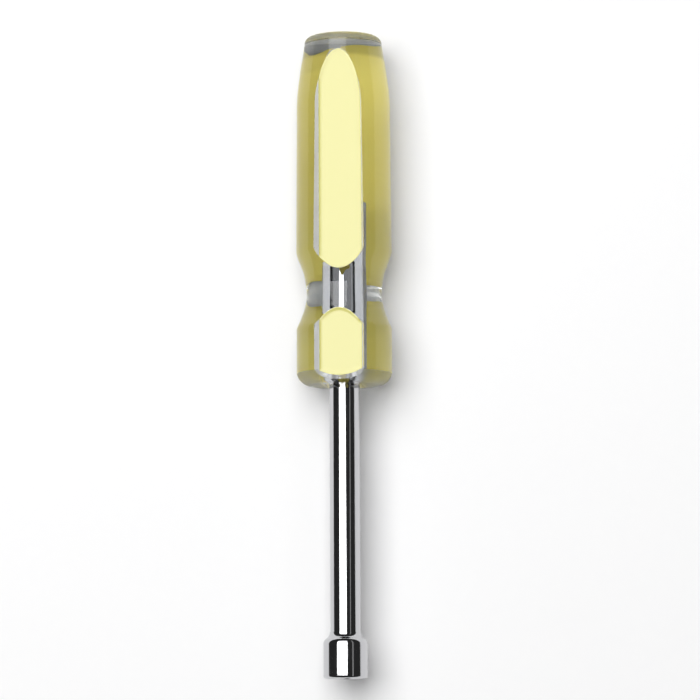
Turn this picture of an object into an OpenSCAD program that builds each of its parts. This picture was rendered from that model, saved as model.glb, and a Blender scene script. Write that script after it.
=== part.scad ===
// Hollow-shank nut driver, lying on its lower painted face.
// The nut socket points to -Y, the butt of the handle to +Y, and the upper face looks up.
// All sizes are in millimetres. Places along the tool are counted from the socket's mouth.

/* [Nut socket] */
// Across-flats size of the nut
nut_af = 7.94; // [6.6:0.01:8.6]
// Play between the nut and the hexagon
nut_play = 0.08; // [0.02:0.01:0.2]
// Depth of the hexagon from the mouth
hex_depth = 6.4; // [4:0.1:8]
// Outside diameter of the socket
socket_d = 11.6; // [11:0.1:14]
// Length of the socket with its shoulder
socket_len = 12; // [11.6:0.1:16]
// Length of the curved shoulder behind the socket
shoulder_len = 3.1; // [2:0.1:5]
// Rounding of the socket's outer rim
rim_round = 0.5; // [0.2:0.1:0.9]
// Lead-in at the mouth of the hexagon
lead_in = 0.4; // [0.1:0.05:0.6]
// Wall at the thin end of the shoulder
skirt_wall = 0.15; // [0.1:0.05:0.4]

/* [Shank] */
// Outside diameter of the hollow shank
shank_d = 7.94; // [6.4:0.01:8.4]
// Bore that clears the stud
bore_d = 4.8; // [3:0.1:5.6]
// Length from the socket's mouth to the handle
reach = 76.2; // [50:0.1:150]
// Length of shank held inside the handle
embed_len = 48; // [40:1:70]
// Span across the two swaged wings
wing_span = 10.6; // [9:0.1:14]
// Thickness of a wing
wing_t = 1.6; // [1:0.1:2.4]
// Length of a wing
wing_len = 9; // [4:0.5:12]
// Plain shank behind the wings
wing_back = 3; // [1:0.5:6]

/* [Handle] */
// Length of the handle
handle_len = 92.4; // [84:0.1:110]
// Diameter of the collar at the front
collar_d = 25; // [24:0.1:28]
// Length of the collar
collar_len = 14.9; // [12:0.1:20]
// Rounding of the collar's front edge
nose_round = 3.9; // [1:0.1:4.4]
// Diameter of the waist
waist_d = 19.6; // [18:0.1:21]
// Radius of the waist's curve towards the collar
front_curve = 8.1; // [5:0.1:10]
// Radius of the waist's curve towards the grip
back_curve = 18.2; // [16:0.1:20]
// Slope from the collar down to the waist, in degrees
front_slope = 20.4; // [16:0.1:26]
// Slope from the waist up to the grip, in degrees
back_slope = 20.9; // [20:0.1:25]
// Length of the gentle lip at the front of the grip
lip_len = 2.4; // [1:0.1:4]
// Drop of the lip below the grip
lip_drop = 0.6; // [0.2:0.1:0.8]
// Diameter at the front of the grip
grip_front_d = 25.1; // [23.6:0.1:28]
// Diameter at the back of the grip
grip_back_d = 24.6; // [23:0.1:27]
// Length of the butt's taper
butt_len = 18; // [10:0.1:22]
// Diameter at the end of the butt
butt_d = 20.4; // [16:0.1:21]
// Bulge of the butt's taper over a straight one
butt_bulge = 0.4; // [0:0.05:0.8]
// Rounding of the butt's edge
butt_round = 2; // [0.4:0.1:2.4]
// Depth of the flat faces below the round of the collar
collar_cut = 1.8; // [1.6:0.05:2]
// Depth of the flat faces below the round at the back of the grip
grip_cut = 1.6; // [1.5:0.05:2]

/* [Paint] */
// Thickness of the paint let into a face
paint_t = 0.12; // [0.08:0.01:0.3]
// Width of the painted band
paint_w = 11.2; // [8:0.1:12]
// Bare margin inside the edge of a face
paint_margin = 0.3; // [0.15:0.05:0.6]
// Sideways place of the band on its face
paint_shift = 0.45; // [0:0.05:0.8]
// Bare nose in front of the collar's paint
paint_front = 1.7; // [1.2:0.1:4]
// Radius of the curved front edge of the collar's paint
paint_front_curve = 11.4; // [9:0.1:20]

/* [Hidden] */

// Gap between the shank and the pieces that hold it
bond_gap = 0.01;
// Overrun of every cut
over = 1;

overall = reach + handle_len;
collar_r = collar_d / 2;
waist_r = waist_d / 2;
grip_front_r = grip_front_d / 2;
grip_back_r = grip_back_d / 2;
butt_r = butt_d / 2;
collar_face_z = collar_r - collar_cut;
grip_face_z = grip_back_r - grip_cut;
socket_r = socket_d / 2;
shank_r = shank_d / 2;
hex_af = nut_af + nut_play;
hex_sides = 6;
hex_r = hex_af / 2 / cos(180 / hex_sides);

// Waist: two curves, tight in front and easy behind, that run into the slopes
front_foot_r = waist_r + front_curve * (1 - cos(front_slope));
back_foot_r = waist_r + back_curve * (1 - cos(back_slope));
front_foot = collar_len + (collar_r - front_foot_r) / tan(front_slope);
waist_at = front_foot + front_curve * sin(front_slope);
back_foot = waist_at + back_curve * sin(back_slope);
lip_r = grip_front_r - lip_drop;
lip_at = back_foot + (lip_r - back_foot_r) / tan(back_slope);
grip_at = lip_at + lip_len;
butt_at = handle_len - butt_len;

// Where the paint's pointed ends lie: the turned body is there no wider than the faces allow
collar_tip = collar_len + (collar_cut - paint_margin) / tan(front_slope);
grip_edge_r = grip_face_z + paint_margin;
grip_tip = back_foot + (grip_edge_r - back_foot_r) / tan(back_slope);
butt_end = handle_len - butt_round;
butt_drop = grip_back_r - butt_r - 4 * butt_bulge;
butt_depth = grip_cut - paint_margin;
butt_root = sqrt(pow(butt_drop, 2) + 16 * butt_bulge * butt_depth);
butt_tip = butt_at + (butt_end - butt_at) * 2 * butt_depth / (butt_drop + butt_root);

// Shoulder: two equal curves, one bulging and one hollow, that meet halfway
skirt_r = shank_r + skirt_wall;
shoulder_turn = 2 * atan((socket_r - skirt_r) / shoulder_len);
shoulder_curve = shoulder_len / (2 * sin(shoulder_turn));
shoulder_at = socket_len - shoulder_len;
shoulder_mid_r = (socket_r + skirt_r) / 2;
shoulder_mid = shoulder_at + shoulder_len / 2;

body_color = [0.86, 0.87, 0.8, 0.45];
paint_color = [0.97, 0.9, 0.35];
steel_color = [0.78, 0.79, 0.81];
$fn = 64;
taper_steps = 6;

// Radius of the butt's taper at a share of its length
function butt_taper(share) =
    grip_back_r + share * (butt_r - grip_back_r) + 4 * butt_bulge * share * (1 - share);

// Share of the way from one place to the next
function share(at, from, to) = (at - from) / (to - from);

// Radius of the turned body at a place behind the nose
function body_r(at) =
    at < nose_round
        ? collar_r - nose_round + sqrt(pow(nose_round, 2) - pow(nose_round - at, 2))
    : at < collar_len ? collar_r
    : at < front_foot ? collar_r - (at - collar_len) * tan(front_slope)
    : at < waist_at
        ? waist_r + front_curve - sqrt(pow(front_curve, 2) - pow(at - waist_at, 2))
    : at < back_foot
        ? waist_r + back_curve - sqrt(pow(back_curve, 2) - pow(at - waist_at, 2))
    : at < lip_at ? back_foot_r + (at - back_foot) * tan(back_slope)
    : at < grip_at ? lip_r + lip_drop * share(at, lip_at, grip_at)
    : at < butt_at
        ? grip_front_r + (grip_back_r - grip_front_r) * share(at, grip_at, butt_at)
    : butt_taper(share(at, butt_at, butt_end));

// Half width of the paint at a place on a face: its band, or what the margin leaves
function half_band(at, face_z) =
    min(paint_w / 2, sqrt(max(0, pow(body_r(at) - paint_margin, 2) - pow(face_z, 2))));

// Places between front and back that lie closer together towards both
function places(front, back) =
    [for (a = [5 : 5 : 175]) (front + back) / 2 - (back - front) / 2 * cos(a)];

// Stands a turned piece along the tool, at a place from the socket's mouth
module along(place)
    translate([0, place, 0])
    rotate([-90, 0, 0])
    children();

// Moves the tool so that it rests on its lower face, centred on the origin
module lay()
    translate([0, -overall / 2, max(collar_face_z, grip_face_z)])
    children();

// Half outline of the turned handle
module handle_outline()
    difference() {
        union() {
            polygon(concat(
                [[0, 0],
                 [collar_r - nose_round, 0],
                 [collar_r, nose_round],
                 [collar_r, collar_len],
                 [front_foot_r, front_foot],
                 [front_foot_r, waist_at],
                 [back_foot_r, waist_at],
                 [back_foot_r, back_foot],
                 [lip_r, lip_at],
                 [grip_front_r, grip_at],
                 [grip_back_r, butt_at]],
                [for (i = [1 : taper_steps])
                    [butt_taper(i / taper_steps),
                     butt_at + (butt_end - butt_at) * i / taper_steps]],
                [[butt_r - butt_round, handle_len],
                 [0, handle_len]]));
            translate([collar_r - nose_round, nose_round])
            circle(r = nose_round);
            translate([butt_r - butt_round, butt_end])
            circle(r = butt_round);
        }
        hollow(front_curve, -collar_r);
        hollow(back_curve, 0);
    }

// Half of the waist's hollow, in front of the waist or behind it
module hollow(curve, side)
    intersection() {
        translate([waist_r + curve, waist_at])
        circle(r = curve);
        translate([0, waist_at + side])
        square(collar_r);
    }

// Room between the two flat faces, from one place behind the nose to another
module between_faces(front, back, face_z)
    translate([-collar_d, reach + front, -face_z])
    cube([2 * collar_d, back - front, 2 * face_z]);

// Turned body, cut down to its flat faces, which the waist parts
module body()
    intersection() {
        along(reach)
        rotate_extrude()
        handle_outline();
        union() {
            between_faces(-over, waist_at, collar_face_z);
            between_faces(waist_at, handle_len + over, grip_face_z);
        }
    }

// Outline of the paint on a face, between two places behind the nose
module paint_outline(front, back, face_z) {
    line = [for (at = places(front, back)) if (half_band(at, face_z) > 0) at];
    polygon(concat(
        [[0, front]],
        [for (at = line) [half_band(at, face_z), at]],
        [[0, back]],
        [for (i = [len(line) - 1 : -1 : 0]) [-half_band(line[i], face_z), line[i]]]));
}

// Stands an outline in the upper face, as deep as the paint and as high as asked
module let_in(height, face_z)
    translate([paint_shift, reach, face_z - paint_t])
    linear_extrude(height = height)
    children();

module grip_paint(height = paint_t)
    let_in(height, grip_face_z)
    paint_outline(grip_tip, butt_tip, grip_face_z);

// The collar's paint ends in a curve in front
module collar_paint(height = paint_t)
    let_in(height, collar_face_z)
    intersection() {
        paint_outline(paint_front, collar_tip, collar_face_z);
        translate([0, paint_front + paint_front_curve])
        circle(r = paint_front_curve);
    }

module under()
    rotate([0, 180, 0])
    children();

// Shank with its wings, made larger all round by the gap
module shank_body(gap = 0) {
    front = hex_depth;
    back = reach + embed_len;
    along(front)
    cylinder(h = back - front, r = shank_r + gap);
    translate([-wing_t / 2 - gap, back - wing_back - wing_len - gap, -wing_span / 2 - gap])
    cube([wing_t + 2 * gap, wing_len + 2 * gap, wing_span + 2 * gap]);
}

module handle()
    color(body_color)
    lay()
    difference() {
        body();
        shank_body(bond_gap);
        grip_paint(over);
        collar_paint(over);
        under() grip_paint(over);
        under() collar_paint(over);
    }

module grip_paint_top()
    color(paint_color)
    lay()
    grip_paint();

module grip_paint_under()
    color(paint_color)
    lay()
    under()
    grip_paint();

module collar_paint_top()
    color(paint_color)
    lay()
    collar_paint();

module collar_paint_under()
    color(paint_color)
    lay()
    under()
    collar_paint();

// Hollow steel tube, with two wings that stop it turning in the handle
module shank()
    color(steel_color)
    lay()
    difference() {
        shank_body();
        along(hex_depth - over)
        cylinder(h = reach + embed_len - hex_depth + 2 * over, r = bore_d / 2);
    }

// Half outline of the socket, from its mouth to the end of the shoulder
module socket_outline()
    difference() {
        union() {
            polygon([
                [0, 0],
                [socket_r - rim_round, 0],
                [socket_r, rim_round],
                [socket_r, shoulder_at],
                [shoulder_mid_r, shoulder_mid],
                [skirt_r, socket_len],
                [0, socket_len]]);
            translate([socket_r - rim_round, rim_round])
            circle(r = rim_round);
            intersection() {
                translate([socket_r - shoulder_curve, shoulder_at])
                circle(r = shoulder_curve);
                translate([0, shoulder_at])
                square([socket_r, shoulder_len / 2]);
            }
        }
        translate([skirt_r + shoulder_curve, socket_len])
        circle(r = shoulder_curve);
    }

// Socket with a lead-in, a hexagon for the nut and a seat for the shank
module socket()
    color(steel_color)
    lay()
    difference() {
        along(0)
        rotate_extrude()
        socket_outline();
        along(-over)
        cylinder(h = hex_depth + over, r = hex_r, $fn = hex_sides);
        along(0)
        cylinder(h = lead_in, r1 = hex_r + lead_in, r2 = hex_r);
        along(hex_depth)
        cylinder(h = socket_len - hex_depth + over, r = shank_r + bond_gap);
    }

handle();
grip_paint_top();
grip_paint_under();
collar_paint_top();
collar_paint_under();
shank();
socket();
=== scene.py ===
from math import cos, pi, radians, sin, sqrt, tan

import bmesh
import bpy
import numpy as np
from mathutils import Matrix, Vector


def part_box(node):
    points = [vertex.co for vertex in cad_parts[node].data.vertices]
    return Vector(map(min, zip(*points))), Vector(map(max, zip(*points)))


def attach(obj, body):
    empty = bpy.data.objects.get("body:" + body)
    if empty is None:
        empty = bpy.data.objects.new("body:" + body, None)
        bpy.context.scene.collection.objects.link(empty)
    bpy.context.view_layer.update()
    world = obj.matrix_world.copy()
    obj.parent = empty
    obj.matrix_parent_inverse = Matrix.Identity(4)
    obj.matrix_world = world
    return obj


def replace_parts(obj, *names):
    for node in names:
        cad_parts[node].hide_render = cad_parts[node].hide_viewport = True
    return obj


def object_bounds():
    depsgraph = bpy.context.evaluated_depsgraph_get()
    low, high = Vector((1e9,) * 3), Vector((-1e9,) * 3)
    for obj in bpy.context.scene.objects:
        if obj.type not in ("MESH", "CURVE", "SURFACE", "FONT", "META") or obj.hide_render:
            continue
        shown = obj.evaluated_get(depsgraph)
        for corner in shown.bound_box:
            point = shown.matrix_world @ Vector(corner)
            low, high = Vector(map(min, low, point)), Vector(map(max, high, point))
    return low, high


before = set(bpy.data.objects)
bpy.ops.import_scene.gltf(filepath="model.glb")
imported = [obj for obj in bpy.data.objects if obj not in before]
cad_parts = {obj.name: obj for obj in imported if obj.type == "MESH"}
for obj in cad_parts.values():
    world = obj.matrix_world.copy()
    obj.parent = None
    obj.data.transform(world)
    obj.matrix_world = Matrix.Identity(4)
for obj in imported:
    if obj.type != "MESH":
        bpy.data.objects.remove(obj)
cad_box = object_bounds()

# Shank
# A hollow steel tube that a long stud can pass through, drawn to size and bright chromed.
# Two wings are swaged up near its back end, and shallow flutes run along the stretch that the
# handle is moulded round.

MM = 0.001
mouth_y = cad_box[0][1]
socket_low, socket_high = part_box("socket")
axis_z = (socket_low[2] + socket_high[2]) / 2

# The tool's sizes are in millimetres, and angles are in degrees
shank_d = 7.94
bore_d = 4.8
hex_depth = 6.4
reach = 76.2
embed_len = 48
tube_edge = 0.3
flutes = 10
flute_depth = 0.1
flute_start = 12
flute_run_in = 1
flute_segments = 32
wing_span = 10.6
wing_t = 1.6
wing_len = 9
wing_back = 3
wing_round = 0.7
wing_round_steps = 5
shank_back = reach + embed_len
shank_r = shank_d / 2
bore_r = bore_d / 2

# Points closer than this, in metres, are one point: at the lathe's seams and poles, and elsewhere
seam_weld = 0.002 * MM
corner_weld = 0.001 * MM

# A flat face this far off the axis, in metres, lies outside every piece and leaves it round
no_face = 1.0
metal_crease = 30


def feed(tree, value, socket):
    """Gives a socket its value, or links it where the value is another node's output."""
    if isinstance(value, bpy.types.NodeSocket):
        tree.links.new(value, socket)
    else:
        socket.default_value = value


def node(tree, kind, inputs=None, **settings):
    """Adds a node with its settings, and fills its inputs by name or by number."""
    made = tree.nodes.new(kind)
    for name, value in settings.items():
        setattr(made, name, value)
    for name, value in (inputs or {}).items():
        feed(tree, value, made.inputs[name])
    return made


def calc(tree, operation, *values):
    """Does one step of arithmetic on numbers or on other nodes' outputs."""
    return node(tree, "ShaderNodeMath", dict(enumerate(values)), operation=operation).outputs[0]


def turning_tree():
    """Turns a half outline about the tool's axis, and can leave two opposite flat faces.

    The outline's points hold a radius in x, a place along the tool in y and a depth of flutes in z.
    Each quarter turn shares its points between the flat face and the round side, so that the edge
    stays crisp.
    """
    tree = bpy.data.node_groups.new("Turned piece", "GeometryNodeTree")
    for name, kind in (
        ("Outline", "NodeSocketGeometry"),
        ("Segments", "NodeSocketInt"),
        ("Face height", "NodeSocketFloat"),
        ("Face share", "NodeSocketFloat"),
        ("Flutes", "NodeSocketInt"),
        ("Finish", "NodeSocketMaterial"),
    ):
        tree.interface.new_socket(name, in_out="INPUT", socket_type=kind)
    tree.interface.new_socket("Piece", in_out="OUTPUT", socket_type="NodeSocketGeometry")
    given = node(tree, "NodeGroupInput").outputs
    outline, segments = given["Outline"], given["Segments"]
    face, share = given["Face height"], given["Face share"]

    # A grid with a row for each point of the outline and a column for each step of the turn
    points = node(tree, "GeometryNodeAttributeDomainSize", {0: outline}).outputs["Point Count"]
    columns = calc(tree, "ADD", segments, 1)
    grid = node(tree, "GeometryNodeMeshGrid", {"Vertices X": points, "Vertices Y": columns})
    index = node(tree, "GeometryNodeInputIndex").outputs[0]
    row = calc(tree, "FLOOR", calc(tree, "DIVIDE", calc(tree, "ADD", index, 0.5), columns))
    column = calc(tree, "SUBTRACT", index, calc(tree, "MULTIPLY", row, columns))

    place = node(tree, "GeometryNodeInputPosition").outputs[0]
    sample = node(
        tree,
        "GeometryNodeSampleIndex",
        {"Geometry": outline, "Value": place, "Index": row},
        data_type="FLOAT_VECTOR",
    )
    outline_r, along, depth = node(tree, "ShaderNodeSeparateXYZ", {0: sample.outputs[0]}).outputs

    turn = calc(tree, "DIVIDE", column, segments)
    angle = calc(tree, "MULTIPLY", turn, 2 * pi)
    wave = calc(tree, "COSINE", calc(tree, "MULTIPLY", angle, given["Flutes"]))
    fluted = calc(tree, "MULTIPLY", depth, calc(tree, "MULTIPLY_ADD", wave, -0.5, 0.5))
    radius = calc(tree, "SUBTRACT", outline_r, fluted)
    quarter = calc(tree, "PINGPONG", calc(tree, "MULTIPLY", turn, 4), 1)

    # The flat face, from its middle out to its edge
    flat_squared = calc(tree, "SUBTRACT", calc(tree, "POWER", radius, 2), calc(tree, "POWER", face, 2))
    half_flat = calc(tree, "SQRT", calc(tree, "MAXIMUM", 0, flat_squared))
    flat_x = calc(tree, "MULTIPLY", half_flat, calc(tree, "DIVIDE", quarter, share))
    flat_z = calc(tree, "MINIMUM", face, radius)

    # The round side, from the face's edge on to the quarter's end
    edge_angle = calc(tree, "ARCTAN2", half_flat, flat_z)
    past_edge = calc(tree, "DIVIDE", calc(tree, "SUBTRACT", quarter, share), calc(tree, "SUBTRACT", 1, share))
    side_sweep = calc(tree, "MULTIPLY", past_edge, calc(tree, "SUBTRACT", pi / 2, edge_angle))
    side_angle = calc(tree, "ADD", edge_angle, side_sweep)
    round_x = calc(tree, "MULTIPLY", radius, calc(tree, "SINE", side_angle))
    round_z = calc(tree, "MULTIPLY", radius, calc(tree, "COSINE", side_angle))

    share_play = 0.0001
    on_flat = calc(tree, "LESS_THAN", quarter, calc(tree, "ADD", share, share_play))

    def either(on_face, on_side):
        """Takes the first value on the flat face, and the second on the round side."""
        return calc(tree, "MULTIPLY_ADD", on_flat, calc(tree, "SUBTRACT", on_face, on_side), on_side)

    right = calc(tree, "SIGN", calc(tree, "SINE", angle))
    up = calc(tree, "SIGN", calc(tree, "COSINE", angle))
    there = node(tree, "ShaderNodeCombineXYZ", {
        0: calc(tree, "MULTIPLY", either(flat_x, round_x), right),
        1: along,
        2: calc(tree, "MULTIPLY", either(flat_z, round_z), up),
    })
    shape = grid.outputs[0]
    for kind, settings in (
        ("GeometryNodeSetPosition", {"Position": there.outputs[0]}),
        ("GeometryNodeMergeByDistance", {"Distance": seam_weld}),
        ("GeometryNodeSetShadeSmooth", {}),
        ("GeometryNodeRealizeInstances", {}),
        ("GeometryNodeSetMaterial", {"Material": given["Finish"]}),
    ):
        shape = node(tree, kind, {"Geometry": shape, **settings}).outputs[0]
    out = node(tree, "NodeGroupOutput")
    tree.links.new(shape, out.inputs[0])
    return tree


turning = turning_tree()


def face_outwards(mesh):
    """Joins doubled points and turns every face outwards."""
    work = bmesh.new()
    work.from_mesh(mesh)
    bmesh.ops.remove_doubles(work, verts=work.verts, dist=corner_weld)
    bmesh.ops.recalc_face_normals(work, faces=work.faces)
    work.to_mesh(mesh)
    work.free()


def solid(name, points, faces, material):
    """Makes a mesh object with its faces turned outwards."""
    mesh = bpy.data.meshes.new(name)
    mesh.from_pydata([tuple(point) for point in points], [], faces)
    made = bpy.data.objects.new(name, mesh)
    bpy.context.scene.collection.objects.link(made)
    mesh.materials.append(material)
    face_outwards(mesh)
    return made


def baked(made):
    """Turns what the modifiers make of a piece into its plain mesh."""
    bpy.context.view_layer.update()
    graph = bpy.context.evaluated_depsgraph_get()
    mesh = bpy.data.meshes.new_from_object(made.evaluated_get(graph))
    made.modifiers.clear()
    made.data = mesh
    face_outwards(mesh)


def turned(name, outline, material, segments=192, face=no_face, share=0.0, crease=metal_crease, flutes=0):
    """Turns a piece on the lathe. Its outline is in millimetres: radius, place along the tool.

    A third number at a point is the depth of the flutes there. A flat face lies its height off the
    axis, and takes its share of each quarter's points.
    """
    mesh = bpy.data.meshes.new(name)
    line = [(r * MM, mouth_y + at * MM, sum(depth) * MM) for r, at, *depth in outline]
    mesh.from_pydata(line, [(i, i + 1) for i in range(len(line) - 1)], [])
    made = bpy.data.objects.new(name, mesh)
    bpy.context.scene.collection.objects.link(made)
    lathe = made.modifiers.new("Turned piece", "NODES")
    lathe.node_group = turning
    values = {
        "Segments": segments,
        "Face height": face,
        "Face share": share,
        "Flutes": flutes,
        "Finish": material,
    }
    for socket in turning.interface.items_tree:
        if socket.name in values:
            lathe[socket.identifier] = values[socket.name]
    baked(made)
    made.data.materials.clear()
    made.data.materials.append(material)
    made.data.transform(Matrix.Translation((0, 0, axis_z)))
    made.data.set_sharp_from_angle(angle=radians(crease))
    return made


mark_detail = 3.0
mark_height = 0.02
patches_a_metre = 120.0
patch_detail = 4.0


def marks_group():
    """The fine marks of making and handling: their height, and how worn each place is."""
    tree = bpy.data.node_groups.new("Handling marks", "ShaderNodeTree")
    for name in ("Marks a metre", "Drawn out"):
        tree.interface.new_socket(name, in_out="INPUT", socket_type="NodeSocketFloat")
    for name in ("Height", "Wear"):
        tree.interface.new_socket(name, in_out="OUTPUT", socket_type="NodeSocketFloat")
    given = node(tree, "NodeGroupInput").outputs
    spot = node(tree, "ShaderNodeTexCoord").outputs["Object"]
    across = given["Marks a metre"]
    along = calc(tree, "MULTIPLY", across, given["Drawn out"])
    scale = node(tree, "ShaderNodeCombineXYZ", {0: across, 1: along, 2: across})
    drawn = node(tree, "ShaderNodeVectorMath", {0: spot, 1: scale.outputs[0]}, operation="MULTIPLY")
    marks = node(tree, "ShaderNodeTexNoise", {
        "Vector": drawn.outputs[0], "Scale": 1.0, "Detail": mark_detail,
    })
    patches = node(tree, "ShaderNodeTexNoise", {
        "Vector": spot, "Scale": patches_a_metre, "Detail": patch_detail,
    })
    out = node(tree, "NodeGroupOutput")
    tree.links.new(marks.outputs[0], out.inputs["Height"])
    tree.links.new(patches.outputs[0], out.inputs["Wear"])
    return tree


handling_marks = marks_group()


def finish(name):
    """A new material, with its node tree and its shader."""
    material = bpy.data.materials.new(name)
    material.use_nodes = True
    return material, material.node_tree, material.node_tree.nodes["Principled BSDF"]


def marked(tree, shader, marks_a_metre, drawn_out, strength):
    """Puts handling marks on a surface, and gives back how worn each place is."""
    group = node(tree, "ShaderNodeGroup", node_tree=handling_marks)
    group.inputs["Marks a metre"].default_value = marks_a_metre
    group.inputs["Drawn out"].default_value = drawn_out
    bump = node(tree, "ShaderNodeBump", {
        "Height": group.outputs["Height"], "Strength": strength, "Distance": mark_height * MM,
    })
    feed(tree, bump.outputs[0], shader.inputs["Normal"])
    return group.outputs["Wear"]


def ramp(tree, value, low, high, start, end):
    """Carries a value from one range to another."""
    return node(tree, "ShaderNodeMapRange", {
        "Value": value, "From Min": low, "From Max": high, "To Min": start, "To Max": end,
    }).outputs[0]


chrome_tint = (0.57, 0.57, 0.585)
chrome_bright, chrome_dull = 0.05, 0.11
wear_low, wear_high = 0.35, 0.7


def chrome(name, marks_a_metre, drawn_out):
    """Bright chrome plate, marked along the tool, and a little duller where it is worn."""
    material, tree, shader = finish(name)
    shader.inputs["Base Color"].default_value = (*chrome_tint, 1)
    shader.inputs["Metallic"].default_value = 1
    wear = marked(tree, shader, marks_a_metre, drawn_out, strength=0.04)
    feed(tree, ramp(tree, wear, wear_low, wear_high, chrome_bright, chrome_dull), shader.inputs["Roughness"])
    return material


shank_chrome = chrome("Chromed tube", marks_a_metre=700.0, drawn_out=0.04)

flute_at = reach + flute_start
tube_outline = [
    (bore_r, hex_depth),
    (shank_r - tube_edge, hex_depth),
    (shank_r, hex_depth + tube_edge),
    (shank_r, flute_at),
    (shank_r, flute_at + flute_run_in, flute_depth),
    (shank_r, shank_back - tube_edge, flute_depth),
    (shank_r - tube_edge, shank_back),
    (bore_r, shank_back),
    (bore_r, hex_depth),
]
shank_tube = turned(
    "shank_tube",
    tube_outline,
    shank_chrome,
    segments=flute_segments * flutes,
    flutes=flutes,
)

# The wings' flanks are pressed up from the tube, so their corners are round
wing_half = Vector((wing_t / 2, wing_len / 2, wing_span / 2)) * MM
wing_y = mouth_y + (shank_back - wing_back - wing_len / 2) * MM
wing_corners = [
    (x * wing_half.x, wing_y + y * wing_half.y, axis_z + z * wing_half.z)
    for x in (-1, 1) for y in (-1, 1) for z in (-1, 1)
]
wing_sides = [(0, 1, 3, 2), (4, 6, 7, 5), (0, 4, 5, 1), (2, 3, 7, 6), (0, 2, 6, 4), (1, 5, 7, 3)]
shank_wings = solid("shank_wings", wing_corners, wing_sides, shank_chrome)
soften = shank_wings.modifiers.new("Swaged corners", "BEVEL")
soften.width = wing_round * MM
soften.segments = wing_round_steps
baked(shank_wings)
shank_wings.data.shade_smooth()

for piece in (shank_tube, shank_wings):
    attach(piece, "root")
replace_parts(shank_tube, "shank")

# Nut socket
# A steel sleeve, turned outside with a rounded rim and a shoulder that flows down to the tube.
# Its mouth is broached to a hexagon for the nut, and it is pressed on the tube and chromed.

socket_d = 11.6
socket_len = 12
shoulder_len = 3.1
shoulder_steps = 10
rim_round = 0.7
rim_steps = 8
skirt_wall = 0.15
nut_af = 7.94
nut_play = 0.08
lead_in = 0.4
hex_sides = 6
broach_out = 1

socket_r = socket_d / 2
skirt_r = shank_r + skirt_wall
hex_flat = (nut_af + nut_play) / 2
hex_corner = hex_flat / cos(pi / hex_sides)
shoulder_at = socket_len - shoulder_len
shoulder_turn = 2 * np.degrees(np.arctan((socket_r - skirt_r) / shoulder_len))
shoulder_curve = shoulder_len / (2 * sin(radians(shoulder_turn)))


def arc(centre, radius, start, end, steps):
    """Points of a round edge, from one angle to another in degrees."""
    turns = [radians(start + (end - start) * i / steps) for i in range(steps + 1)]
    return [(centre[0] + radius * cos(a), centre[1] + radius * sin(a)) for a in turns]


rim = arc((socket_r - rim_round, rim_round), rim_round, -90, 0, rim_steps)
shoulder_out = arc((socket_r - shoulder_curve, shoulder_at), shoulder_curve, 0, shoulder_turn, shoulder_steps)
shoulder_in = arc(
    (skirt_r + shoulder_curve, socket_len), shoulder_curve, 180 + shoulder_turn, 180, shoulder_steps)
socket_outline = [
    (hex_corner + lead_in, 0),
    *rim,
    *shoulder_out,
    *shoulder_in,
    (shank_r - tube_edge, socket_len),
    (shank_r - tube_edge, hex_depth),
    (hex_flat, hex_depth),
    (hex_flat, hex_corner + lead_in - hex_flat),
    (hex_corner + lead_in, 0),
]
socket_chrome = chrome("Chromed socket", marks_a_metre=800.0, drawn_out=0.05)
nut_socket = turned("nut_socket", socket_outline, socket_chrome)


def hexagon_bar(name, corner, front, back, material):
    """A hexagonal bar along the tool, with one of its flats on top."""
    turns = [(i + 0.5) * 2 * pi / hex_sides for i in range(hex_sides)]
    points = [
        (corner * MM * sin(a), mouth_y + at * MM, axis_z + corner * MM * cos(a))
        for at in (front, back) for a in turns
    ]
    pairs = [(i, (i + 1) % hex_sides) for i in range(hex_sides)]
    sides = [(i, j, j + hex_sides, i + hex_sides) for i, j in pairs]
    ends = [tuple(range(hex_sides)), tuple(range(hex_sides, 2 * hex_sides))]
    return solid(name, points, sides + ends, material)


broach = hexagon_bar("broach", hex_corner, -broach_out, hex_depth, socket_chrome)
cut = nut_socket.modifiers.new("Broached hexagon", "BOOLEAN")
cut.operation = "DIFFERENCE"
cut.solver = "EXACT"
cut.object = broach
baked(nut_socket)
nut_socket.data.set_sharp_from_angle(angle=radians(metal_crease))
bpy.data.objects.remove(broach)

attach(nut_socket, "root")
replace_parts(nut_socket, "socket")

# Handle
# One solid moulding of clear acetate, turned round with a waist behind the collar.
# It is milled flat above and below, with shallow dishes for the paint, and then polished.

handle_len = 92.4
collar_d = 25
collar_len = 14.9
nose_round = 3.9
nose_steps = 20
waist_d = 19.6
front_curve = 8.1
back_curve = 18.2
front_slope = 20.4
back_slope = 20.9
lip_len = 2.4
lip_drop = 0.6
grip_front_d = 25.1
grip_back_d = 24.6
butt_len = 18
butt_d = 20.4
butt_bulge = 0.4
butt_round = 2
butt_steps = 12
face_height = 10.7
paint_w = 11.2
paint_margin = 0.12
paint_shift = 0.45
paint_front = 1.7
paint_front_curve = 11.4
under_front = 4.4
under_level = 10.25
dish_depth = 0.24
dish_wall = 1.6
dish_start = 0.1
polish_off = 0.02
slope_polish = 0.18
edge_soft = 0.3
station = 0.4

collar_r = collar_d / 2
waist_r = waist_d / 2
grip_front_r = grip_front_d / 2
grip_back_r = grip_back_d / 2
butt_r = butt_d / 2
front_tan, back_tan = tan(radians(front_slope)), tan(radians(back_slope))
front_foot_r = waist_r + front_curve * (1 - cos(radians(front_slope)))
back_foot_r = waist_r + back_curve * (1 - cos(radians(back_slope)))
front_foot = collar_len + (collar_r - front_foot_r) / front_tan
waist_at = front_foot + front_curve * sin(radians(front_slope))
back_foot = waist_at + back_curve * sin(radians(back_slope))
lip_r = grip_front_r - lip_drop
lip_at = back_foot + (lip_r - back_foot_r) / back_tan
grip_at = lip_at + lip_len
butt_at = handle_len - butt_len
butt_end = handle_len - butt_round


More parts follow.
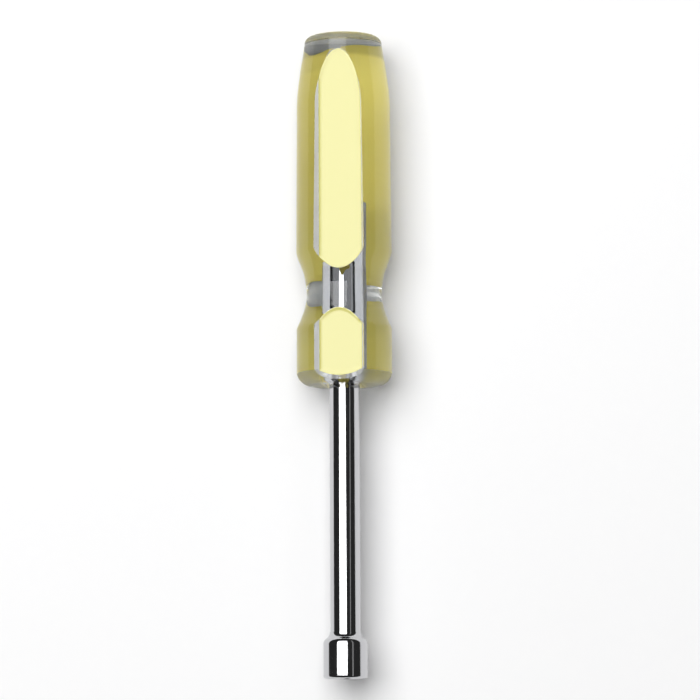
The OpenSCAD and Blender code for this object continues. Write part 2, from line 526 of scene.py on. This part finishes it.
def body_r(at):
    """Radius of the turned body at a place behind its front, between nose and butt edge."""
    if at < nose_round:
        return collar_r - nose_round + sqrt(nose_round**2 - (nose_round - at) ** 2)
    if at < collar_len:
        return collar_r
    if at < front_foot:
        return collar_r - (at - collar_len) * front_tan
    if at < waist_at:
        return waist_r + front_curve - sqrt(front_curve**2 - (at - waist_at) ** 2)
    if at < back_foot:
        return waist_r + back_curve - sqrt(back_curve**2 - (at - waist_at) ** 2)
    if at < lip_at:
        return back_foot_r + (at - back_foot) * back_tan
    if at < grip_at:
        return lip_r + lip_drop * (at - lip_at) / lip_len
    if at < butt_at:
        return grip_front_r + (grip_back_r - grip_front_r) * (at - grip_at) / (butt_at - grip_at)
    part = (at - butt_at) / (butt_end - butt_at)
    return grip_back_r + part * (butt_r - grip_back_r) + 4 * butt_bulge * part * (1 - part)


def place_of(radius, low, high, halvings=40):
    """Where the body has a radius, between a thinner place and a thicker one."""
    for _ in range(halvings):
        middle = (low + high) / 2
        if body_r(middle) < radius:
            low = middle
        else:
            high = middle
    return middle


def half_band(at, side, margin, level):
    """Width of a coat on one side of the axis: its band, or what the slopes leave of it."""
    face_half = sqrt(max(0, (body_r(at) - margin) ** 2 - level**2))
    return min(paint_w / 2 + side * paint_shift, face_half)


def coat_edge(front, back, side, margin, level, steps=160):
    """One edge of a coat, from its front tip to its back tip, as far as it lies off the axis."""
    middle, half = (front + back) / 2, (back - front) / 2
    places = [middle - half * cos(pi * i / steps) for i in range(steps + 1)]
    widths = [half_band(at, side, margin, level) for at in places]
    widths[0] = widths[-1] = 0
    return np.column_stack([widths, places])


def collar_edge(front, back, side, margin, level, steps=24, rounds=20):
    """The same for the collar's coat, which is cut off in a curve in front."""
    def curve(x):
        """Where the cut lies, so far off the axis."""
        return front + paint_front_curve - sqrt(paint_front_curve**2 - x**2)

    corner = paint_w / 2
    for _ in range(rounds):
        corner = half_band(curve(corner), side, margin, level)
    start = [(corner * i / steps, curve(corner * i / steps)) for i in range(steps)]
    flank = coat_edge(curve(corner), back, side, margin, level)
    flank[0, 0] = corner
    return np.vstack([start, flank])


def coat_edges(front, margin, level):
    """Both edges of the coats of one face. A margin keeps them off the slopes, or they lap over."""
    edge_r = level + margin
    collar_back = place_of(edge_r, waist_at, collar_len)
    grip_front = place_of(edge_r, waist_at, grip_at)
    grip_back = place_of(edge_r, butt_end, butt_at)
    return {
        "grip": {side: coat_edge(grip_front, grip_back, side, margin, level) for side in (-1, 1)},
        "collar": {side: collar_edge(front, collar_back, side, margin, level) for side in (-1, 1)},
    }


# The coats of the upper face keep inside it, and those of the lower face lap over its ends
face_coats = {
    1: coat_edges(paint_front, paint_margin, face_height),
    -1: coat_edges(under_front, 0, under_level),
}


def depth_in(edges, x, at):
    """How far points lie inside a coat's two edges, in millimetres, and less than 0 outside."""
    nearest = np.full(len(x), np.inf)
    inside = np.zeros(len(x), bool)
    for side, line in edges.items():
        start, way = line[:-1], np.diff(line, axis=0)
        off_x, off_at = side * x[:, None] - start[:, 0], at[:, None] - start[:, 1]
        part = np.clip((off_x * way[:, 0] + off_at * way[:, 1]) / (way**2).sum(axis=1), 0, 1)
        gap = np.hypot(off_x - part * way[:, 0], off_at - part * way[:, 1])
        nearest = np.minimum(nearest, gap.min(axis=1))
        reach_x = np.interp(at, line[:, 1], line[:, 0], left=0, right=0)
        inside |= (side * x >= 0) & (side * x < reach_x)
    return np.where(inside, nearest, -nearest)


def dish(inside):
    """Depth of the dish where a point lies so far inside the paint's edge."""
    rest = 1 - np.clip(inside / dish_wall, 0, 1)
    return dish_depth * (1 - rest**2)


# Radii of the slopes beside the faces, where the polish sets in, is full, and fades out again
slope_radii = (10.2, 10.8, 11.8, 12.3)
slope_shares = (0, 1, 1, 0)


def soft_r(at, steps=4):
    """Radius with the corners of the turned outline, and the slopes beside the faces, polished."""
    room = min(edge_soft, at - nose_round, butt_end - at)
    drawn = float(np.mean([body_r(at + room * i / steps) for i in range(-steps, steps + 1)]))
    return drawn - slope_polish * float(np.interp(drawn, slope_radii, slope_shares))


knots = [nose_round, collar_len, front_foot, waist_at, back_foot, lip_at, grip_at, butt_at, butt_end]
body_places = []
for start, end in zip(knots, knots[1:]):
    count = max(2, round((end - start) / station))
    body_places += [start + (end - start) * i / count for i in range(count)]

handle_profile = [
    (0.0, 0.0),
    *arc((collar_r - nose_round, nose_round), nose_round, -90, 0, nose_steps)[:-1],
    *[(soft_r(at), at) for at in body_places],
    *arc((butt_r - butt_round, butt_end), butt_round, 0, 90, butt_steps),
    (0.0, handle_len),
]
handle_outline = [(r, at + reach) for r, at in handle_profile]

# The acetate's finish: where its ends are frosted, where painted shade greys it, and its clear middle in
# front
acetate_clear = (0.945, 0.97, 0.99)
# The grey of the painted shade on the nose and on the butt
painted_shade_grey = (0.54, 0.56, 0.585)
acetate_bright, acetate_dull = 0.01, 0.05
acetate_ior = 1.48
frost = 0.4
frost_fade = 0.3
nose_edge = 3
butt_edge = 90.6
# Painted shade: a grey ring over the butt from here back, lighter at the rim
painted_shade_front = 85.5
painted_shade_fade = 1
rim_shade_clearing = 0.6
run_out_half = 3.2
run_out_fade = 2.6
face_skin = 0.1
face_gloss = 0.6


def blend(tree, factor, first, second):
    """Goes from one colour to another by a factor that changes over the surface."""
    mixed = node(tree, "ShaderNodeMix", {"Factor": factor}, data_type="RGBA")
    mixed.inputs["A"].default_value = (*first, 1)
    mixed.inputs["B"].default_value = (*second, 1)
    return mixed.outputs["Result"]


def acetate():
    """Clear acetate. Its two ends are left frosted, and painted shade greys the nose beside the tube and the
    butt to its edge, a little less at the rim.

    The polish of the faces runs out over the middle of the front, so the tube shows through there.
    """
    material, tree, shader = finish("Clear acetate")
    spot = node(tree, "ShaderNodeTexCoord").outputs["Object"]
    x, y, z = node(tree, "ShaderNodeSeparateXYZ", {0: spot}).outputs
    along = calc(tree, "SUBTRACT", calc(tree, "DIVIDE", y, MM), mouth_y / MM + reach)
    height = calc(tree, "ABSOLUTE", calc(tree, "SUBTRACT", z, axis_z))
    off_middle = calc(tree, "ABSOLUTE", x)

    front = ramp(tree, along, nose_edge, nose_edge + frost_fade, 1, 0)
    beside = ramp(tree, off_middle, run_out_half * MM, (run_out_half + run_out_fade) * MM, 0, 1)
    nose = calc(tree, "MULTIPLY", front, beside)
    butt = ramp(tree, along, butt_edge - frost_fade, butt_edge, 0, 1)
    # Painted shade greys the nose beside the tube, and a ring over the butt that is lighter at its rim
    band = ramp(tree, along, painted_shade_front, painted_shade_front + painted_shade_fade, 0, 1)
    painted_shade_ring = calc(tree, "SUBTRACT", band, calc(tree, "MULTIPLY", butt, rim_shade_clearing))
    clear_tint_and_painted_shade = blend(tree, calc(tree, "MAXIMUM", nose, painted_shade_ring), acetate_clear, painted_shade_grey)
    feed(tree, clear_tint_and_painted_shade, shader.inputs["Base Color"])

    on_face = calc(tree, "GREATER_THAN", height, (face_height - face_skin) * MM)
    feed(tree, calc(tree, "MULTIPLY", on_face, face_gloss), shader.inputs["Coat Weight"])
    shader.inputs["Transmission Weight"].default_value = 1
    shader.inputs["IOR"].default_value = acetate_ior

    wear = marked(tree, shader, marks_a_metre=500.0, drawn_out=0.2, strength=0.02)
    polish = ramp(tree, wear, wear_low, wear_high, acetate_bright, acetate_dull)
    ends = calc(tree, "MAXIMUM", nose, butt)
    feed(tree, calc(tree, "MULTIPLY_ADD", ends, frost, polish), shader.inputs["Roughness"])
    return material


handle_body = turned(
    "handle_body",
    handle_outline,
    acetate(),
    segments=256,
    face=(face_height - polish_off) * MM,
    share=0.5,
    crease=8,
)

# The dishes are cut into the two flat faces, a little wider than the coats that fill them
face_play = 0.001
spots = np.empty(len(handle_body.data.vertices) * 3)
handle_body.data.vertices.foreach_get("co", spots)
spots = spots.reshape(-1, 3)
for side, coats in face_coats.items():
    off_axis = (spots[:, 2] - axis_z) * side / MM
    on_face = np.where(off_axis > face_height - polish_off - face_play)[0]
    x = spots[on_face, 0] * side / MM
    at = (spots[on_face, 1] - mouth_y) / MM - reach
    for edges in coats.values():
        spots[on_face, 2] -= side * MM * dish(depth_in(edges, x, at) + dish_start)
handle_body.data.vertices.foreach_set("co", spots.ravel())
handle_body.data.update()

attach(handle_body, "root")
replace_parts(handle_body, "handle")

# Painted faces
# Yellow enamel rolled into the dishes of both flat faces, on the grip and on the collar.
# It bonds to the clear acetate, where its inner side is given a brighter yellow as painted light, so the
# lower coats glow through the sides of the handle.

enamel_bright, enamel_dull = 0.2, 0.24
enamel_wear_low = 0.3
enamel_specular = 0.5
enamel_coat_roughness = 0.12
coat_bond = 0.14
coat_columns = 48
coat_crease = 50
outer_lean = 0.5


def enamel(name, thin, thick, gloss):
    """Rolled enamel, a little uneven in its thickness. Where it is bonded it has no gloss."""
    material, tree, shader = finish(name)
    wear = marked(tree, shader, marks_a_metre=400.0, drawn_out=0.3, strength=0.03)
    dullness = ramp(tree, wear, enamel_wear_low, wear_high, enamel_bright, enamel_dull)
    feed(tree, blend(tree, wear, thin, thick), shader.inputs["Base Color"])
    feed(tree, dullness, shader.inputs["Roughness"])
    shader.inputs["Specular IOR Level"].default_value = enamel_specular * gloss
    shader.inputs["Coat Weight"].default_value = gloss
    shader.inputs["Coat Roughness"].default_value = enamel_coat_roughness
    return material


yellow_enamel = enamel("Yellow enamel", (0.66, 0.625, 0.165), (0.675, 0.64, 0.18), gloss=1)
# Seen from inside, the enamel is partly its own deeper yellow without gloss, and partly brightened as painted
# light for the light that reaches it through the acetate
bonded_enamel_with_painted_light = enamel("Yellow enamel seen from inside, brightened as painted light", (0.94, 0.81, 0.2), (0.96, 0.835, 0.23), gloss=0)


def coat(name, edges, side):
    """A thin coat that follows its dish: an outer skin, an inner one, and a rim between them."""
    left, right = edges[-1], edges[1]
    rows, wide = len(right), coat_columns + 1
    skin = rows * wide
    across = np.linspace(0, 1, wide)
    x = (np.outer(-left[:, 0], 1 - across) + np.outer(right[:, 0], across)).ravel()
    at = (np.outer(left[:, 1], 1 - across) + np.outer(right[:, 1], across)).ravel()
    turned_r = np.array([soft_r(place) if nose_round < place < butt_end else collar_r for place in at])
    turned_z = np.sqrt(np.maximum(turned_r**2 - x**2, 0)) - polish_off
    surface = np.minimum(face_height - polish_off / 2, turned_z) - dish(depth_in(edges, x, at))
    points = [
        (side * px * MM, mouth_y + (pat + reach) * MM, axis_z + side * (pz - lift) * MM)
        for lift in (0, coat_bond)
        for px, pat, pz in zip(x, at, surface)
    ]
    faces = []
    for row in range(rows - 1):
        for column in range(coat_columns):
            a = row * wide + column
            faces.append((a, a + 1, a + 1 + wide, a + wide))
            faces.append((a + skin, a + wide + skin, a + 1 + wide + skin, a + 1 + skin))
        for a in (row * wide, row * wide + coat_columns):
            faces.append((a, a + wide, a + wide + skin, a + skin))
    for row in (0, rows - 1):
        for column in range(coat_columns):
            a = row * wide + column
            faces.append((a, a + 1, a + 1 + skin, a + skin))
    made = solid(name, points, faces, yellow_enamel)
    made.data.materials.append(bonded_enamel_with_painted_light)

    # The outer skin is glossy, and all that touches the acetate is bonded, in a brighter yellow that is
    # painted light
    for face in made.data.polygons:
        face.material_index = int(face.normal.z * side < outer_lean)
    made.data.shade_smooth()
    made.data.set_sharp_from_angle(angle=radians(coat_crease))
    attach(made, "root")
    return made


for face_name, side in (("top", 1), ("under", -1)):
    for zone, edges in face_coats[side].items():
        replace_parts(coat(f"{zone}_coat_{face_name}", edges, side), f"{zone}_paint_{face_name}")

# Table top
# A plain pale sheet that the tool lies on, with room all round for its soft shadow.
# It lies a hair below the tool, so that the two never share a surface.

# Half of the sheet's side is in metres, and the gap under the tool in millimetres
floor_half = 3.0
floor_gap = 0.05
sheet_light, sheet_dark = (0.98, 0.98, 0.98), (0.965, 0.965, 0.97)
sheet_grains_a_metre = 300.0
sheet_grain_detail = 2.0
sheet_roughness = 0.9
floor_corners = [
    (x * floor_half, y * floor_half, -floor_gap * MM) for x, y in ((-1, -1), (1, -1), (1, 1), (-1, 1))
]


def pale_sheet():
    """Matt pale card with a faint grain."""
    material, tree, shader = finish("Pale sheet")
    spot = node(tree, "ShaderNodeTexCoord").outputs["Object"]
    grain = node(tree, "ShaderNodeTexNoise", {
        "Vector": spot, "Scale": sheet_grains_a_metre, "Detail": sheet_grain_detail,
    })
    feed(tree, blend(tree, grain.outputs[0], sheet_dark, sheet_light), shader.inputs["Base Color"])
    shader.inputs["Roughness"].default_value = sheet_roughness
    shader.inputs["Specular IOR Level"].default_value = 0
    return material


table_top = solid("table_top", floor_corners, [(0, 1, 2, 3)], pale_sheet())

# Light
# One wide softbox hangs above, towards the left and the butt. The studio round it is white up to
# the horizon and dark above it, which gives the chrome its dark bands.

# The lamps' places and sizes are in metres
softbox_high = 1.2
softbox_left, softbox_right = -36, 16
softbox_front, softbox_back = -8, 40
softbox_glow = 3.9


def spread(start, end):
    """Middle and width of a lamp at the softbox's height, between two angles off the vertical."""
    low, high = softbox_high * tan(radians(start)), softbox_high * tan(radians(end))
    return (low + high) / 2, high - low


def area_lamp(name, width, length, glow, place, lean=0):
    """A flat lamp that the camera doesn't see. It leans to the side by so many degrees."""
    light = bpy.data.lights.new(name, "AREA")
    light.shape = "RECTANGLE"
    light.size, light.size_y = width, length
    light.energy = glow * pi * width * length
    lamp = bpy.data.objects.new(name, light)
    lamp.location = place
    lamp.rotation_euler = (0, radians(lean), 0)
    lamp.visible_camera = False
    bpy.context.scene.collection.objects.link(lamp)
    return lamp


softbox_x, softbox_w = spread(softbox_left, softbox_right)
softbox_y, softbox_l = spread(softbox_front, softbox_back)
area_lamp("softbox", softbox_w, softbox_l, softbox_glow, (softbox_x, softbox_y, softbox_high))

# A narrow strip stands to the right, and draws the fine second line along the chrome
strip_lean = 45
strip_away = 1.0
strip_y = 0.2
strip_wide = 0.1
strip_long = 1.6
strip_glow = 0.35
strip_place = (strip_away * sin(radians(strip_lean)), strip_y, strip_away * cos(radians(strip_lean)))
area_lamp("strip", strip_wide, strip_long, strip_glow, strip_place, lean=strip_lean)

# A broad dim panel lightens the shadow, and the chrome and the paint don't mirror it
fill_x = 0.3
fill_high = 1.0
fill_side = 3.0
fill_glow = 0.31
fill_panel = area_lamp("fill_panel", fill_side, fill_side, fill_glow, (fill_x, 0, fill_high))
fill_panel.visible_glossy = False

horizon_fade = 2
studio_white, studio_dark = 1.0, 0.03
studio = bpy.data.worlds.new("Studio")
studio.use_nodes = True
bpy.context.scene.world = studio
sky = studio.node_tree
looked_at = node(sky, "ShaderNodeTexCoord").outputs["Generated"]
sky_height = node(sky, "ShaderNodeSeparateXYZ", {0: looked_at}).outputs[2]
backdrop = node(sky, "ShaderNodeMapRange", {
    "Value": sky_height, "From Min": 0.0, "From Max": sin(radians(horizon_fade)),
    "To Min": studio_white, "To Max": studio_dark,
}, interpolation_type="SMOOTHSTEP")
feed(sky, backdrop.outputs[0], sky.nodes["Background"].inputs["Color"])

# Camera
# Far off with a long lens, almost straight above, and leaning to the right and to the tip.
# Its lens follows from how many pixels of the photograph go to a millimetre of the tool.

# The camera's distance is in metres, and its sensor and the point it looks at in millimetres
camera_away = 0.935
camera_lean = 7.2
camera_tilt = 6.8
camera_roll = 0.26
sensor = 36.0
image_side = 700
pixels_a_mm = 3.827
view_x, view_y = 1.5, 1.26

photo_camera = bpy.data.cameras.new("photo_camera")
photo_camera.sensor_width = sensor
photo_camera.lens = pixels_a_mm / MM * camera_away * sensor / image_side
viewer = bpy.data.objects.new("photo_camera", photo_camera)
target = Vector((view_x * MM, view_y * MM, axis_z))
towards = Vector((tan(radians(camera_lean)), -tan(radians(camera_tilt)), 1)).normalized()
across = Vector((0, 1, 0)).cross(towards).normalized()
upward = towards.cross(across)
aim = Matrix((across, upward, towards)).transposed() @ Matrix.Rotation(-radians(camera_roll), 3, "Z")
viewer.matrix_world = Matrix.Translation(target + towards * camera_away) @ aim.to_4x4()
bpy.context.scene.collection.objects.link(viewer)
bpy.context.scene.camera = viewer
bpy.context.scene.view_settings.view_transform = "Standard"
